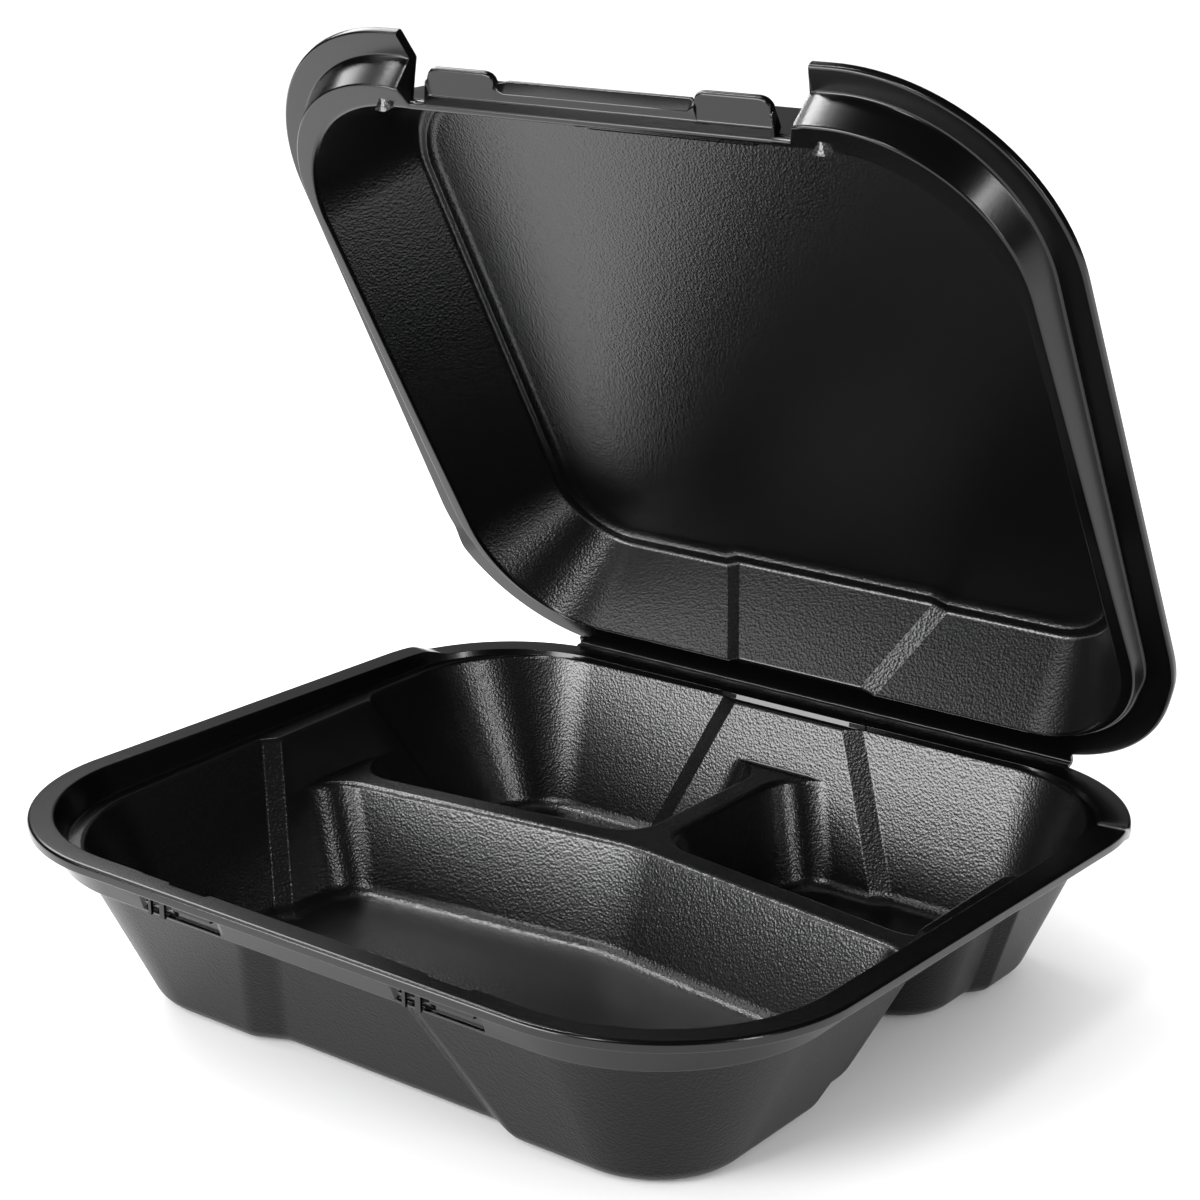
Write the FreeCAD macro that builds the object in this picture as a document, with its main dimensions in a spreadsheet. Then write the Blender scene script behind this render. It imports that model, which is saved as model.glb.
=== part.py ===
import FreeCAD, Part
import os
from math import cos, radians, sin, sqrt, tan
from FreeCAD import Rotation, Vector

# Three-compartment takeout clamshell, formed from one sheet of foam.
# X runs along the front, Y points back to the hinge, Z is up.
# It is drawn with the crease above the origin, then moved so that the origin lies under the
# middle of the front compartment, on the level the tray stands on.

SIZES = [
    ("rim_width", 235.0, "outer width of the flange"),
    ("rim_depth", 213.5, "front of the flange to the crease"),
    ("front_round", 52.0, "plan radius of the flange's front corners"),
    ("back_round", 46.0, "plan radius of the flange's back corners"),
    ("sheet", 2.5, "thickness of the foam"),
    ("flange_width", 6.5, "flat outer flange"),
    ("step_run", 3.0, "plan run of the step wall inside the flange"),
    ("crease_level", 47.0, "top of the tray's low flange at the hinge"),
    ("flange_rise_front", 4.5, "raised flange above the crease level, at the front"),
    ("flange_rise_back", 1.3, "raised flange above the crease level, carried back to the hinge"),
    ("ledge_drop_front", 4.2, "ledge below the crease level, at the front"),
    ("ledge_drop_back", 1.4, "ledge below the crease level, at the hinge"),
    ("raise_end", 38.0, "hinge to the end of the raised flange"),
    ("drop_run", 7.0, "length of the slanted drop to the low flange"),
    ("skirt_drop", 3.6, "height of the turned-down edge"),
    ("skirt_wall", 1.8, "thickness of the turned-down edge"),
    ("hinge_half", 82.0, "half the length of the crease"),
    ("hinge_setback", 1.2, "flange edge behind the crease"),
    ("hinge_web", 1.2, "thickness of the sheet pressed thin at the crease"),
    ("wall_inset", 13.0, "flange edge to the top of the side wall"),
    ("back_inset", 9.6, "crease to the top of the back wall"),
    ("wall_draft", 25.5, "side and front walls, degrees from upright"),
    ("back_draft", 14.7, "back wall, degrees from upright"),
    ("wall_top", 43.5, "level at which the wall insets are measured"),
    ("corner_top", 40.0, "front corner radius at the wall top"),
    ("rear_top", 35.0, "back corner radius at the wall top"),
    ("rear_floor", 18.0, "back corner radius at the floor"),
    ("panel_inset", 4.0, "depth of the panel set into each side wall"),
    ("back_panel_inset", 2.6, "depth of the panel set into the back wall"),
    ("panel_half_top", 18.5, "half width of a panel at the wall top"),
    ("panel_half_floor", 36.0, "half width of a panel at the floor"),
    ("panel_slant", 5.5, "width of the slanted strip beside a panel"),
    ("panel_centre", 90.0, "crease to the middle of the side panels"),
    ("floor_fillet", 5.0, "radius between floor and walls, inside"),
    ("divider_level", 30.5, "top of the dividers"),
    ("divider_half", 4.0, "half the width of a divider's top"),
    ("divider_draft", 18.0, "divider walls, degrees from upright"),
    ("divider_apex", 80.0, "crease to the middle of the cross divider, at the centre line"),
    ("divider_sweep", 0.13, "forward sweep of the cross divider, per unit of width"),
    ("apex_round", 60.0, "plan radius of the cross divider's bend"),
    ("divider_round_top", 12.0, "plan radius where a divider joins a wall, at its top"),
    ("divider_round_floor", 12.0, "plan radius where a divider joins a wall, at the floor"),
    ("divider_edge", 1.3, "rounding of the divider's top edges"),
    ("slot_centre", 40.0, "centre line to a latch slot"),
    ("slot_width", 25.0, "recess of a latch slot"),
    ("slot_hole", 11.0, "open part of a latch slot"),
    ("slot_height", 3.2, "height of a latch slot"),
    ("slot_recess", 0.5, "depth of a slot's recess in the outside of the step wall"),
    ("slot_level", 45.3, "lower edge of a latch slot"),
    ("pocket_width", 22.0, "pocket in the step wall behind a slot, where a tab goes"),
    ("pocket_face", 6.2, "flange edge to the pocket's back"),
    ("lid_gap", 0.3, "closed lid clear of the tray"),
    ("lid_inset", 13.8, "flange edge to the lid's opening, at the crease level"),
    ("lid_front_inset", 18.0, "the same at the front"),
    ("lid_back_inset", 10.0, "crease to the lid's opening"),
    ("lid_depth", 24.5, "crease level to the lid's shelf"),
    ("lid_draft", 27.0, "lid walls, degrees from upright"),
    ("lid_back_draft", 23.2, "lid back wall, degrees from upright"),
    ("lid_corner_rim", 41.0, "lid front corner radius at the opening"),
    ("lid_rear_rim", 34.0, "lid back corner radius at the opening"),
    ("lid_rear_top", 22.0, "lid back corner radius at the shelf"),
    ("lid_panel_half_rim", 20.5, "half width of the lid's back panel at the opening"),
    ("lid_panel_half_top", 32.0, "half width of the lid's back panel at the shelf"),
    ("lid_panel_inset", 2.0, "depth of the lid's back panel"),
    ("lid_panel_slant", 4.5, "width of the slanted strip beside that panel"),
    ("shelf_width", 2.5, "shelf round the lid's plate"),
    ("plate_step", 2.0, "plate raised above the shelf"),
    ("plate_run", 1.5, "run of the step round the plate"),
    ("tab_centre", 40.0, "centre line to a latch tab"),
    ("tab_width", 21.0, "width of a latch tab"),
    ("tab_reach", 6.7, "flange edge to the end of a latch tab"),
    ("tab_tilt", 12.0, "rise of a latch tab, degrees"),
    ("tab_wall", 2.0, "thickness of a latch tab"),
    ("tab_shoulder", 3.5, "cut corner of a latch tab"),
    ("front_foot", 14.6, "flange edge to the foot of the low front rim"),
    ("front_step_run", 1.2, "plan run of the low front rim's step"),
    ("front_step_rise", 3.0, "height of the low front rim's step"),
    ("front_lip", 3.8, "width of the low front rim"),
    ("front_rim_half", 51.0, "half the length of the low front rim"),
    ("front_gap_half", 57.0, "half the stretch of lid front that has no outer flange"),
    ("open_angle", 60.6, "opening of the lid at rest, degrees from closed"),
    ("stand_offset", 140.0, "crease to the middle of the front compartment, where the origin is"),
]

doc = FreeCAD.newDocument("clamshell")
sheet = doc.addObject("Spreadsheet::Sheet", "sizes")
for row, (name, value, note) in enumerate(SIZES, start=1):
    sheet.set("A%d" % row, note)
    sheet.set("B%d" % row, str(value))
    sheet.setAlias("B%d" % row, name)
doc.recompute()


def size(name):
    return float(sheet.get(name))


half_width = size("rim_width") / 2
rim_depth = size("rim_depth")
sheet_wall = size("sheet")
crease = size("crease_level")
lid_gap = size("lid_gap")
margin = 12.0


# Outlines

def outline(corners, level):
    """Closed wire at one level through corners (x, y, radius), with each radius above 0 an arc."""
    count = len(corners)
    marks = []
    for index, (x, y, radius) in enumerate(corners):
        here = Vector(x, y, level)
        before = Vector(corners[index - 1][0], corners[index - 1][1], level)
        after = Vector(corners[(index + 1) % count][0], corners[(index + 1) % count][1], level)
        inward = (before - here).normalize()
        onward = (after - here).normalize()
        if radius <= 0:
            marks.append((here, None, here))
            continue
        half_angle = inward.getAngle(onward) / 2
        reach = radius / tan(half_angle)
        bisector = (inward + onward).normalize()
        centre = here + bisector * (radius / sin(half_angle))
        marks.append((here + inward * reach, centre - bisector * radius, here + onward * reach))
    edges = []
    for index, (start, middle, end) in enumerate(marks):
        if middle is not None:
            edges.append(Part.Arc(start, middle, end).toShape())
        edges.append(Part.LineSegment(end, marks[(index + 1) % count][0]).toShape())
    return Part.Wire(edges)


def loft(sections):
    """Ruled solid through (corners, level) sections that all have as many corners."""
    return Part.makeLoft([outline(corners, level) for corners, level in sections], True, True)


def rim_corners(inset):
    """The flange's plan, drawn in by inset."""
    side = half_width - inset
    front = -(rim_depth - inset)
    back = -(size("hinge_setback") + inset)
    front_radius = size("front_round") - inset
    back_radius = size("back_round") - inset
    return [(-side, front, front_radius), (side, front, front_radius),
            (side, back, back_radius), (-side, back, back_radius)]


def side_profile(points):
    """Solid whose outline in the Y-Z plane is points, running past both sides."""
    reach = half_width + margin
    ring = [Vector(-reach, y, z) for y, z in points]
    face = Part.Face(Part.makePolygon(ring + ring[:1]))
    return face.extrude(Vector(2 * reach, 0, 0))


# Rim levels along the depth

front_end = -(rim_depth + margin)
raise_end = -size("raise_end")
drop_end = raise_end + size("drop_run")
sky = crease + 100.0


def flange_level(y):
    share = -y / rim_depth
    rise = size("flange_rise_back") + (size("flange_rise_front") - size("flange_rise_back")) * share
    return crease + rise


def ledge_level(y):
    share = -y / rim_depth
    drop = size("ledge_drop_back") + (size("ledge_drop_front") - size("ledge_drop_back")) * share
    return crease - drop


def flange_line(lift):
    """The flange's top, front to back, with the drop to the low flange, moved up by lift."""
    return [(front_end, flange_level(front_end) + lift), (raise_end, flange_level(raise_end) + lift),
            (drop_end, crease + lift), (margin, crease + lift)]


def ledge_line(lift):
    return [(front_end, ledge_level(front_end) + lift), (margin, ledge_level(margin) + lift)]


def band(lower, upper):
    return side_profile(lower + upper[::-1])


def above(line):
    return side_profile(line + [(margin, sky), (front_end, sky)])


step_top = flange_level(-rim_depth)
step_foot = ledge_level(-rim_depth)
step_slope = size("step_run") / (step_top - step_foot)


def step_inset(level):
    return size("flange_width") + (step_top - level) * step_slope


def step_prism(inset):
    """Inside of the step wall, drawn in by inset, from under the ledge to over the flange."""
    low = step_foot - 2 * sheet_wall
    high = step_top + 2 * sheet_wall
    return loft([(rim_corners(step_inset(low) + inset), low), (rim_corners(step_inset(high) + inset), high)])


def flange_prism(inset):
    wire = outline(rim_corners(inset), step_foot - 2 * sheet_wall)
    return Part.Face(wire).extrude(Vector(0, 0, step_top - step_foot + 5 * sheet_wall))


# Tray walls, compartments and dividers

floor_level = sheet_wall
wall_top = size("wall_top")
divider_level = size("divider_level")
wall_slope = tan(radians(size("wall_draft")))
back_slope = tan(radians(size("back_draft")))
divider_slope = tan(radians(size("divider_draft")))
wall_skin = sheet_wall / cos(radians(size("wall_draft")))
divider_skin = sheet_wall / cos(radians(size("divider_draft")))
panel_centre = -size("panel_centre")


def blend_size(top_name, floor_name, level):
    share = (wall_top - level) / (wall_top - floor_level)
    return size(top_name) + (size(floor_name) - size(top_name)) * share


class TrayLevel:
    """Wall places of the tray at one level; grow moves the walls out, to the sheet's other face."""

    def __init__(self, level, walls_in=0.0, outer=False, edge=0.0):
        grow = wall_skin if outer else 0.0
        grow_divider = divider_skin if outer else 0.0
        self.side = half_width - size("wall_inset") - (wall_top - level) * wall_slope - walls_in + grow
        self.front = -(rim_depth - size("wall_inset")) + (wall_top - level) * wall_slope + walls_in - grow
        self.back = -size("back_inset") - (wall_top - level) * back_slope - walls_in + grow
        self.side_panel = self.side - size("panel_inset")
        self.front_panel = self.front + size("panel_inset")
        self.back_panel = self.back - size("back_panel_inset")
        self.half_in = blend_size("panel_half_top", "panel_half_floor", level)
        self.half_out = self.half_in + size("panel_slant")
        self.corner = size("corner_top") - (wall_top - level) * wall_slope + grow - walls_in
        self.rear = blend_size("rear_top", "rear_floor", level) + grow - walls_in
        share = (divider_level - level) / (divider_level - floor_level)
        top, foot = size("divider_round_top"), size("divider_round_floor")
        self.join = top + (foot - top) * share + grow - walls_in
        lean = size("divider_half") + (divider_level - level) * divider_slope + walls_in - grow_divider - edge
        self.front_face = -size("divider_apex") - lean
        self.back_face = -size("divider_apex") + lean
        self.spine = lean

    def swept(self, start, x):
        return start - size("divider_sweep") * abs(x)

    def tub(self):
        s, p = self.side, self.side_panel
        ci, co = self.half_in, self.half_out
        mid = panel_centre
        return [(-s, self.front, self.corner), (-co, self.front, 0), (-ci, self.front_panel, 0),
                (ci, self.front_panel, 0), (co, self.front, 0), (s, self.front, self.corner),
                (s, mid - co, 0), (p, mid - ci, 0), (p, mid + ci, 0), (s, mid + co, 0),
                (s, self.back, self.rear), (co, self.back, 0), (ci, self.back_panel, 0),
                (-ci, self.back_panel, 0), (-co, self.back, 0), (-s, self.back, self.rear),
                (-s, mid + co, 0), (-p, mid + ci, 0), (-p, mid - ci, 0), (-s, mid - co, 0)]

    def front_cup(self):
        s, p = self.side, self.side_panel
        ci, co = self.half_in, self.half_out
        mid = panel_centre
        end = self.swept(self.front_face, p)
        return [(-s, self.front, self.corner), (-co, self.front, 0), (-ci, self.front_panel, 0),
                (ci, self.front_panel, 0), (co, self.front, 0), (s, self.front, self.corner),
                (s, mid - co, 0), (p, mid - ci, 0), (p, end, self.join),
                (0, self.front_face, size("apex_round")),
                (-p, end, self.join), (-p, mid - ci, 0), (-s, mid - co, 0)]

    def back_cup(self, hand):
        s, p = self.side, self.side_panel
        ci, co = self.half_in, self.half_out
        mid = panel_centre
        corners = [(self.spine, self.swept(self.back_face, self.spine), self.join),
                   (p, self.swept(self.back_face, p), self.join),
                   (p, mid + ci, 0), (s, mid + co, 0), (s, self.back, self.rear),
                   (co, self.back, 0), (ci, self.back_panel, 0),
                   (self.spine, self.back_panel, self.join)]
        return [(hand * x, y, radius) for x, y, radius in corners]


def fillet_steps(radius, base):
    """(level, inward shift) pairs that follow a quarter round from the floor up to the wall."""
    pairs = []
    for share in (0.0, 0.25, 1.0):
        height = share * radius
        pairs.append((base + height, radius - sqrt(radius ** 2 - (radius - height) ** 2)))
    return pairs


def cup(shape_of, outer):
    """One compartment, as the space inside it or, with the sheet round it, as a solid."""
    base = 0.0 if outer else floor_level
    radius = size("floor_fillet") + (sheet_wall if outer else 0.0)
    top = divider_level - (sheet_wall if outer else 0.0)
    sections = []
    for level, shift in fillet_steps(radius, base):
        sections.append((shape_of(TrayLevel(level, walls_in=shift, outer=outer)), level))
    if outer:
        sections.append((shape_of(TrayLevel(top, outer=True)), top))
    else:
        edge = size("divider_edge")
        sections.append((shape_of(TrayLevel(top - edge)), top - edge))
        sections.append((shape_of(TrayLevel(top, edge=edge)), top))
    return loft(sections)


def all_cups(outer):
    shapes = [cup(lambda at: at.front_cup(), outer)]
    for hand in (1, -1):
        shapes.append(cup(lambda at, hand=hand: at.back_cup(hand), outer))
    return shapes


def tub(outer):
    """The open space over the dividers, or that space with the sheet round it."""
    low = divider_level - (sheet_wall if outer else 0.0)
    high = crease - sheet_wall if outer else crease + 1.0
    return loft([(TrayLevel(low, outer=outer).tub(), low), (TrayLevel(high, outer=outer).tub(), high)])


# Lid cavity, in the closed position

lid_slope = tan(radians(size("lid_draft")))
lid_back_slope = tan(radians(size("lid_back_draft")))
lid_skin = sheet_wall / cos(radians(size("lid_draft")))
shelf_level = crease + size("lid_depth")


def lid_corners(level, inset=0.0, grow=0.0):
    height = level - crease
    share = height / size("lid_depth")
    side = half_width - size("lid_inset") - height * lid_slope - inset + grow
    front = -(rim_depth - size("lid_front_inset") - height * lid_slope - inset + grow)
    back = -size("lid_back_inset") - height * lid_back_slope - inset + grow
    panel = back - size("lid_panel_inset")
    half_in = size("lid_panel_half_rim")
    half_in += (size("lid_panel_half_top") - half_in) * share
    half_out = half_in + size("lid_panel_slant")
    corner = size("lid_corner_rim") - height * lid_slope - inset + grow
    rear = size("lid_rear_rim") + (size("lid_rear_top") - size("lid_rear_rim")) * share - inset + grow
    return [(-side, front, corner), (side, front, corner), (side, back, rear),
            (half_out, back, 0), (half_in, panel, 0), (-half_in, panel, 0), (-half_out, back, 0),
            (-side, back, rear)]


def lid_form(outer):
    """The lid's cavity up to its plate, or the same form with the sheet round it."""
    grow = lid_skin if outer else 0.0
    lift = sheet_wall if outer else 0.0
    low = step_foot - 2 * sheet_wall
    shelf = shelf_level + lift
    plate = shelf + size("plate_step")
    wide = size("shelf_width")
    return loft([
        (lid_corners(low, grow=grow), low),
        (lid_corners(shelf_level, grow=grow), shelf_level) if outer else (lid_corners(crease, grow=grow), crease),
        (lid_corners(shelf, grow=grow), shelf),
        (lid_corners(shelf_level, inset=wide, grow=grow), shelf + 0.05),
        (lid_corners(shelf_level, inset=wide + size("plate_run"), grow=grow), plate),
    ])


# Document objects

def solid(name, shape):
    feature = doc.addObject("Part::Feature", name)
    feature.Shape = shape
    return feature


def join(name, parts):
    fusion = doc.addObject("Part::MultiFuse", name)
    fusion.Shapes = parts
    return fusion


def cut(name, base, tool):
    result = doc.addObject("Part::Cut", name)
    result.Base = base
    result.Tool = tool
    return result


def box(name, length, width, height, x, y, z):
    """A box whose size and place are expressions on the sheet."""
    feature = doc.addObject("Part::Box", name)
    feature.setExpression("Length", length)
    feature.setExpression("Width", width)
    feature.setExpression("Height", height)
    feature.setExpression("Placement.Base.x", x)
    feature.setExpression("Placement.Base.y", y)
    feature.setExpression("Placement.Base.z", z)
    return feature


# Tray

raised_flange = solid("tray_flange", flange_prism(0).common(band(flange_line(-sheet_wall), flange_line(0))))
step_band = solid("tray_step_band",
                  step_prism(-sheet_wall).common(band(ledge_line(-sheet_wall), flange_line(0))))
skirt_ring = flange_prism(0).cut(flange_prism(size("skirt_wall")))
skirt_line_low = flange_line(-size("skirt_drop"))[:2]
skirt_line_high = flange_line(-sheet_wall / 2)[:2]
skirt = solid("tray_skirt", skirt_ring.common(band(skirt_line_low, skirt_line_high)))
outer_cups = [solid("tray_cup_%d" % index, shape) for index, shape in enumerate(all_cups(True))]
outer_tub = solid("tray_tub", tub(True))
tray_web = box("tray_hinge_web", "2 * sizes.hinge_half", "3 * sizes.hinge_setback - sizes.lid_gap / 2",
               "sizes.hinge_web",
               "-sizes.hinge_half", "-3 * sizes.hinge_setback", "sizes.crease_level - sizes.hinge_web")
tray_form = join("tray_form", [raised_flange, step_band, skirt, outer_tub, tray_web] + outer_cups)

step_space = solid("tray_step_space", step_prism(0).common(above(ledge_line(0))))
tub_space = solid("tray_tub_space", tub(False))
cup_spaces = [solid("tray_cup_space_%d" % index, shape) for index, shape in enumerate(all_cups(False))]
latch_cuts = []
for side_name, sign in (("left", "-"), ("right", "")):
    start = "%ssizes.slot_centre - sizes.slot_width / 2" % sign
    pocket_back = "-(sizes.rim_depth - sizes.pocket_face)"
    band_face = "-(sizes.rim_depth - sizes.flange_width - sizes.step_run / 2 + sizes.sheet)"
    latch_cuts.append(box("slot_hole_" + side_name, "sizes.slot_hole", "4 * sizes.sheet", "sizes.slot_height",
                          start, pocket_back + " - 2 * sizes.sheet", "sizes.slot_level"))
    latch_cuts.append(box("slot_recess_" + side_name, "sizes.slot_width", "sizes.sheet", "sizes.slot_height",
                          start, band_face + " - sizes.sheet + sizes.slot_recess", "sizes.slot_level"))
    latch_cuts.append(box("latch_pocket_" + side_name, "sizes.pocket_width", "2 * sizes.sheet",
                          "4 * sizes.sheet", "%ssizes.slot_centre - sizes.pocket_width / 2" % sign,
                          pocket_back, "sizes.slot_level"))
tray_space = join("tray_space", [step_space, tub_space] + cup_spaces + latch_cuts)
base_tray = cut("base_tray", tray_form, tray_space)
base_tray.Label = "base_tray"
base_tray.Placement = FreeCAD.Placement(Vector(0, size("stand_offset"), 0), Rotation())

# Lid

over = flange_line(lid_gap)
over_top = flange_line(lid_gap + sheet_wall)
lid_flange = solid("lid_flange", flange_prism(0).common(band(over, over_top)))
lid_block = solid("lid_step_block", step_prism(lid_gap).common(band(ledge_line(lid_gap), over_top)))
lid_outer = lid_form(True)
lid_shell = solid("lid_shell", lid_outer.common(above(over)))
lid_web = box("lid_hinge_web", "2 * sizes.hinge_half", "3 * sizes.hinge_setback - sizes.lid_gap / 2",
              "sizes.hinge_web",
              "-sizes.hinge_half", "-3 * sizes.hinge_setback", "sizes.crease_level + sizes.lid_gap")
lid_solid = join("lid_solid", [lid_flange, lid_block, lid_shell, lid_web])

groove = step_prism(lid_gap + sheet_wall).common(above(ledge_line(lid_gap + sheet_wall))).cut(lid_outer)
lid_groove = solid("lid_groove", groove)
lid_cavity = solid("lid_cavity", lid_form(False))
foot = -(rim_depth - size("front_foot"))
gap_half = size("front_gap_half")
trim = Part.makeBox(2 * gap_half, foot - front_end, 200, Vector(-gap_half, front_end, 0))
lid_front_trim = solid("lid_front_trim", trim)
lid_cut = cut("lid_cut", lid_solid, join("lid_space", [lid_groove, lid_cavity, lid_front_trim]))


def extruded(points, start, length):
    """Solid with the outline points in the Y-Z plane, from X = start."""
    ring = [Vector(start, y, z) for y, z in points]
    return Part.Face(Part.makePolygon(ring + ring[:1])).extrude(Vector(length, 0, 0))


# Low rim along the lid's front, which the tabs stand out from

low = ledge_level(foot) + lid_gap
shelf_y = foot - size("front_step_run")
shelf_z = low + size("front_step_rise")
lip_y = shelf_y - size("front_lip")
back_y = foot + sheet_wall / 2
front_rim = solid("lid_front_rim", extruded(
    [(foot, low), (shelf_y, shelf_z), (lip_y, shelf_z), (lip_y, shelf_z + size("tab_wall")),
     (shelf_y + sheet_wall / 2, shelf_z + size("tab_wall")), (back_y, low + sheet_wall), (back_y, low)],
    -size("front_rim_half"), 2 * size("front_rim_half")))


def tab(centre):
    """Flat latch tab that rises towards its end, with cut corners."""
    half = size("tab_width") / 2
    shoulder = size("tab_shoulder")
    end = -(rim_depth - size("tab_reach"))
    rise = (shelf_y - end) * tan(radians(size("tab_tilt")))
    wall = size("tab_wall")
    blade = extruded([(shelf_y, shelf_z), (end, shelf_z + rise), (end, shelf_z + rise + wall),
                      (shelf_y, shelf_z + wall)], centre - half, 2 * half)
    plan = [(-half, foot), (half, foot), (half, end + shoulder), (half - shoulder, end),
            (shoulder - half, end), (-half, end + shoulder)]
    ring = [Vector(centre + x, y, 0) for x, y in plan]
    return blade.common(Part.Face(Part.makePolygon(ring + ring[:1])).extrude(Vector(0, 0, 2 * crease)))


tabs = [solid("latch_tab_left", tab(-size("tab_centre"))), solid("latch_tab_right", tab(size("tab_centre")))]
lid = join("lid", [lid_cut, front_rim] + tabs)
lid.Label = "lid"
crease_axis = Vector(0, 0, crease + lid_gap / 2)
opening = Rotation(Vector(1, 0, 0), -size("open_angle"))
lid.Placement = FreeCAD.Placement(Vector(0, size("stand_offset"), 0), opening, crease_axis)

doc.recompute()

# Checks and files

for item in doc.Objects:
    if "Invalid" in item.State or "Error" in item.State:
        raise RuntimeError("failed object: " + item.Name)
os.makedirs("parts", exist_ok=True)
for item in (base_tray, lid):
    if item.Shape.isNull() or not item.Shape.isValid():
        raise RuntimeError("bad shape: " + item.Label)
    item.Shape.exportStep("parts/%s.step" % item.Label)
    bounds = item.Shape.BoundBox
    print(item.Label, "solids", len(item.Shape.Solids), "faces", len(item.Shape.Faces),
          "volume", round(item.Shape.Volume, 1), "box", [round(value, 2) for value in (
              bounds.XMin, bounds.YMin, bounds.ZMin, bounds.XMax, bounds.YMax, bounds.ZMax)])
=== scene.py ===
from math import acos, cos, pi, radians, sin, sqrt, tan

import bmesh
import bpy
from mathutils import Matrix, Vector


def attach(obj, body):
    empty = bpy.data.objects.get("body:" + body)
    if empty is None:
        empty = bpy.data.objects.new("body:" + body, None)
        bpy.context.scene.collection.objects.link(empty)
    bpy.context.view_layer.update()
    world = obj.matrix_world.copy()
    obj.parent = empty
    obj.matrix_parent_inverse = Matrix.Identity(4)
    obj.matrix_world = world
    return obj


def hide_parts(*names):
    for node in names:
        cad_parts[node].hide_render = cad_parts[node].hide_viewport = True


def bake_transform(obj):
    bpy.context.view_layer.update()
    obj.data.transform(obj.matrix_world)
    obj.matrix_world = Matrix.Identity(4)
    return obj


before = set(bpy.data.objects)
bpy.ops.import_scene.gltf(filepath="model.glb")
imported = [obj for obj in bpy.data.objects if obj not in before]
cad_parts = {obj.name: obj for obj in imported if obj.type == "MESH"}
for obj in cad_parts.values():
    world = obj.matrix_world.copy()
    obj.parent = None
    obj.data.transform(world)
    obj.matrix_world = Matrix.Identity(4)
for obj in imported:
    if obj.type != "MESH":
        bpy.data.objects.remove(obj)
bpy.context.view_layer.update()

# Sizes in mm, as in the CAD: X along the front, Y back to the crease at 0, Z up.

# Rim
HALF = 117.5
DEPTH = 213.5
FRONT_R = 52.0
BACK_R = 46.0
SETBACK = 1.2
SHEET = 2.5
CREASE = 47.0
GAP = 0.3
RISE_FRONT, RISE_BACK = 4.5, 1.3
DROP_FRONT, DROP_BACK = 4.2, 1.4
RAISE_END, DROP_END = -38.0, -31.0
FLANGE, RUN = 6.5, 3.0
SKIRT = 2.8
SKIRT_WALL = 1.6
STEP_TOP = CREASE + RISE_FRONT
STEP_FOOT = CREASE - DROP_FRONT

# Tray walls
WALL_TOP = 43.5
RIM_TO_WALL = 13.0
BACK_WALL = 9.6
WALL_T = tan(radians(25.5))
BACK_T = tan(radians(14.7))
WALL_SKIN = SHEET / cos(radians(25.5))
CORNER_R = 40.0
REAR_R_TOP, REAR_R_LOW = 35.0, 18.0

# Pressed panels of the tray's walls
PANEL_Y = -90.0
PANEL_TOP, PANEL_LOW, PANEL_SLANT = 18.5, 36.0, 5.5
FRONT_TOP, FRONT_LOW, FRONT_SLANT = 16.0, 33.5, 8.0
SIDE_PANEL, SIDE_SLANT = 3.3, 4.2
FRONT_INSET, BACK_INSET = 4.0, 2.6
BEND_R, FRONT_BEND_R = 1.7, 7.0
BEND_STEPS, FRONT_BEND_STEPS = 3, 5

# Dividers
DIVIDER_Z = 30.5
DIV_T = tan(radians(18.0))
DIV_SKIN = SHEET / cos(radians(18.0))
DIVIDER_HALF = 4.0
APEX_Y = -80.0
APEX_R, APEX_STEPS = 60.0, 10
SWEEP = 0.13
JOIN_R, JOIN_STEPS = 12.0, 14
EDGE_R = 2.1
EDGE_REACH = EDGE_R * tan(radians(36.0))

# Compartment floors
FLOOR_R, FLOOR_R_OUTER = 6.0, 8.0
FLOOR_TURN = radians(26.0)
FLOOR_STEPS = 9

# Latch slots in the tray's front
SLOT_X = 40.0
SLOT_HALF = 12.6
POCKET_HALF, POCKET_INSET = 10.9, 6.2
NOTCH, NOTCH_FROM = 1.1, -1.3
HOLE_FROM, HOLE_TO = -11.5, -1.9
SLOT_RECESS = 0.9

# Lid
LID_DEPTH = 24.5
LID_T = tan(radians(27.0))
LID_BACK_T = tan(radians(23.2))
LID_SKIN = SHEET / cos(radians(27.0))
OPEN = 60.6
OFFSET_Y = 140.0

# Materials of each shell, in slot order
GRAIN, RIM, OUTSIDE = 0, 1, 2

# Shares of a corner's turn at which its outline has points
BIG = 30
REAR = sorted(set([k / 28 for k in range(29)] + [0.085 + 0.014 * k for k in range(13)]))
REAR_BACKWARD = [1 - s for s in reversed(REAR)]

# Places along the front where a slot's parts begin and end
SLOTS_RIGHT = [27.0, 27.6, 28.6, 29.2, 38.3, 38.9, 50.8, 51.4, 52.3, 52.9]
SLOTS_LEFT = [-52.9, -52.3, -51.4, -50.8, -41.7, -41.1, -29.2, -28.6, -27.6, -27.0]
SLOTS_START, SLOTS_END = 24.1, 64.5


def mix(a, b, t):
    return a + (b - a) * t


def smooth(t):
    t = min(max(t, 0.0), 1.0)
    return t * t * (3 - 2 * t)


def lift(points, z):
    return [Vector((p.x, p.y, z)) for p in points]


# Rim levels

def flange_z(y):
    raised = CREASE + RISE_BACK + (RISE_FRONT - RISE_BACK) * (-y / DEPTH)
    t = smooth((y - RAISE_END + 0.6) / (DROP_END - RAISE_END + 1.2))
    return mix(raised, CREASE, t)


def ledge_z(y):
    return CREASE - DROP_BACK - (DROP_FRONT - DROP_BACK) * (-y / DEPTH)


def step_inset(z):
    return FLANGE + (STEP_TOP - z) * RUN / (STEP_TOP - STEP_FOOT)


# Outlines

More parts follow.
